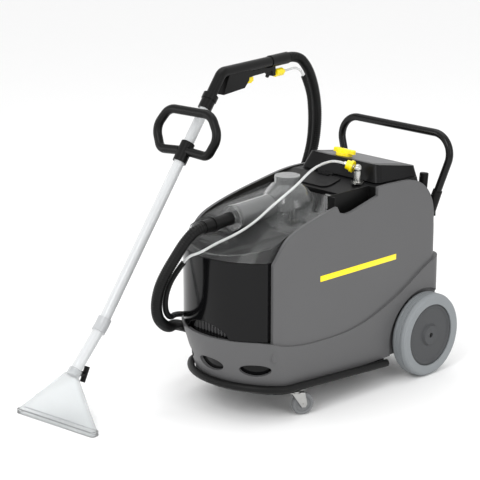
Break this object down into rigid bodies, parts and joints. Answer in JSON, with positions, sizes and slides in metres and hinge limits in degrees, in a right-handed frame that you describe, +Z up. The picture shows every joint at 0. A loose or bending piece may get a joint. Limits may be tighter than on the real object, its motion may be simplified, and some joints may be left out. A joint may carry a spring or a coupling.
{
  "type": "carpet cleaner machine",
  "caption": "Wheeled spray-extraction carpet cleaner with tanks, clear lid, push handle, ribbed suction hose, spray hose and an upright floor wand with a sliding D-handle.",
  "frame": {"origin": "on the floor, midway between the rear wheels' sides, 250 mm in front of the rear axle", "axes": "+Y towards the back and the push handle, +Z up, +X to the side that is on the right when the machine is seen from the front"},
  "size_m": [0.7867, 1.4316, 1.082],
  "materials": {
    "grey_shell": "satin",
    "black_moulding": "satin",
    "black_gloss": "gloss",
    "console_black": "satin",
    "panel_grey": "satin",
    "fresh_tank": "satin",
    "rubber_black": "matte",
    "tyre_grey": "satin",
    "rim_grey": "satin",
    "caster_wheel": "satin",
    "zinc_steel": "satin",
    "ballast_grey": "satin",
    "clear_plastic": "gloss",
    "filter_mesh": "matte",
    "float_ball": "satin",
    "yellow_plastic": "gloss",
    "coupling_metal": "polished",
    "machinery": "satin",
    "black_painted_tube": "gloss",
    "hose_black": "satin",
    "hose_clear": "gloss",
    "nozzle_clear": "gloss",
    "wand_translucent": "gloss",
    "joint_grey": "satin",
    "grip_black": "satin"
  },
  "bodies": {
    "chassis": {"body_shell": "grey_shell", "base_plate": "black_moulding", "ballast_blocks": "ballast_grey", "bumper": "rubber_black", "rear_axle": "zinc_steel", "caster_plates": "zinc_steel", "waste_tank": "black_gloss", "tank_grip": "grey_shell", "fresh_tank": "fresh_tank", "filler_neck": "fresh_tank", "top_deck": "black_gloss", "hand_hold_liner": "black_moulding", "console": "console_black", "control_panel": "panel_grey", "coupling_post": "coupling_metal", "suction_turbine": "machinery", "suction_duct": "machinery", "spray_pump": "machinery", "push_handle": "black_painted_tube", "handle_mounts": "black_moulding", "cable_hook": "black_moulding", "mains_gland": "black_moulding", "lid_seal": "rubber_black", "hinge_pins": "zinc_steel", "suction_hose": "hose_black", "spray_sleeve": "hose_black", "spray_hose": "hose_clear", "grip_spray_hose": "hose_clear", "nozzle_body": "nozzle_clear", "nozzle_lip": "nozzle_clear", "lower_tube": "wand_translucent", "upper_tube": "wand_translucent", "tube_joint": "joint_grey", "wand_collar": "grip_black", "grip_tube": "grip_black", "trigger_housing": "grip_black", "grip_coupling": "yellow_plastic", "spray_jet": "grip_black", "grip_cuff": "hose_black"},
    "lid": {"lid_cover": "clear_plastic", "float_hood": "clear_plastic", "inlet_tube": "clear_plastic", "lint_filter": "filter_mesh", "float_cage": "filter_mesh", "hood_plug": "rubber_black", "hose_cuff": "hose_black"},
    "float_ball": {"float_ball": "float_ball"},
    "filler_flap": {"filler_flap": "black_gloss"},
    "selector_knob": {"selector_knob": "yellow_plastic"},
    "coupling_collar": {"coupling_collar": "yellow_plastic"},
    "trigger_button": {"trigger_button": "yellow_plastic"},
    "d_handle": {"d_handle": "grip_black"},
    "rear_wheel_right": {"rear_tyre_right": "tyre_grey", "rear_rim_right": "rim_grey"},
    "rear_wheel_left": {"rear_tyre_left": "tyre_grey", "rear_rim_left": "rim_grey"},
    "caster_fork_right": {"caster_fork_right": "zinc_steel"},
    "caster_fork_left": {"caster_fork_left": "zinc_steel"},
    "caster_wheel_right": {"caster_wheel_right": "caster_wheel"},
    "caster_wheel_left": {"caster_wheel_left": "caster_wheel"}
  },
  "joints": [
    {"name": "rear_wheel_right_spin", "type": "hinge", "parent": "chassis", "child": "rear_wheel_right", "pos_m": [0.237, 0.25, 0.15], "axis": [1, 0, 0], "continuous": true},
    {"name": "rear_wheel_left_spin", "type": "hinge", "parent": "chassis", "child": "rear_wheel_left", "pos_m": [-0.237, 0.25, 0.15], "axis": [1, 0, 0], "continuous": true},
    {"name": "caster_right_swivel", "type": "hinge", "parent": "chassis", "child": "caster_fork_right", "pos_m": [0.196, -0.371, 0.08], "axis": [0, 0, 1], "continuous": true},
    {"name": "caster_left_swivel", "type": "hinge", "parent": "chassis", "child": "caster_fork_left", "pos_m": [-0.196, -0.371, 0.08], "axis": [0, 0, 1], "continuous": true},
    {"name": "caster_right_roll", "type": "hinge", "parent": "caster_fork_right", "child": "caster_wheel_right", "pos_m": [0.20699, -0.34744, 0.038], "axis": [0.9063, -0.4226, 0], "continuous": true},
    {"name": "caster_left_roll", "type": "hinge", "parent": "caster_fork_left", "child": "caster_wheel_left", "pos_m": [-0.20141, -0.34557, 0.038], "axis": [0.9781, 0.2079, 0], "continuous": true},
    {"name": "lid_open", "type": "hinge", "parent": "chassis", "child": "lid", "pos_m": [0, -0.092, 0.688], "axis": [-1, 0, 0], "range_deg": [0, 60], "deforming": ["suction_hose", "spray_sleeve", "spray_hose"]},
    {"name": "float_lift", "type": "slide", "parent": "lid", "child": "float_ball", "axis": [0, 0, 1], "range_m": [0, 0.025]},
    {"name": "flap_open", "type": "hinge", "parent": "chassis", "child": "filler_flap", "pos_m": [-0.042, 0.02, 0.7275], "axis": [-1, 0, 0], "range_deg": [0, 95]},
    {"name": "selector_turn", "type": "hinge", "parent": "chassis", "child": "selector_knob", "pos_m": [-0.034, 0.104, 0.77633], "axis": [0, 0.1644, 0.9864], "range_deg": [0, 90]},
    {"name": "coupling_pull", "type": "slide", "parent": "chassis", "child": "coupling_collar", "axis": [0.9171, 0.319, -0.2392], "range_m": [0, 0.003], "stiffness_N_per_m": 900},
    {"name": "trigger_press", "type": "slide", "parent": "chassis", "child": "trigger_button", "axis": [0.1105, -0.9939, 0], "range_m": [0, 0.006], "stiffness_N_per_m": 700},
    {"name": "d_handle_slide", "type": "slide", "parent": "chassis", "child": "d_handle", "axis": [-0.0701, 0.63, 0.7734], "range_m": [-0.15, 0]}
  ]
}
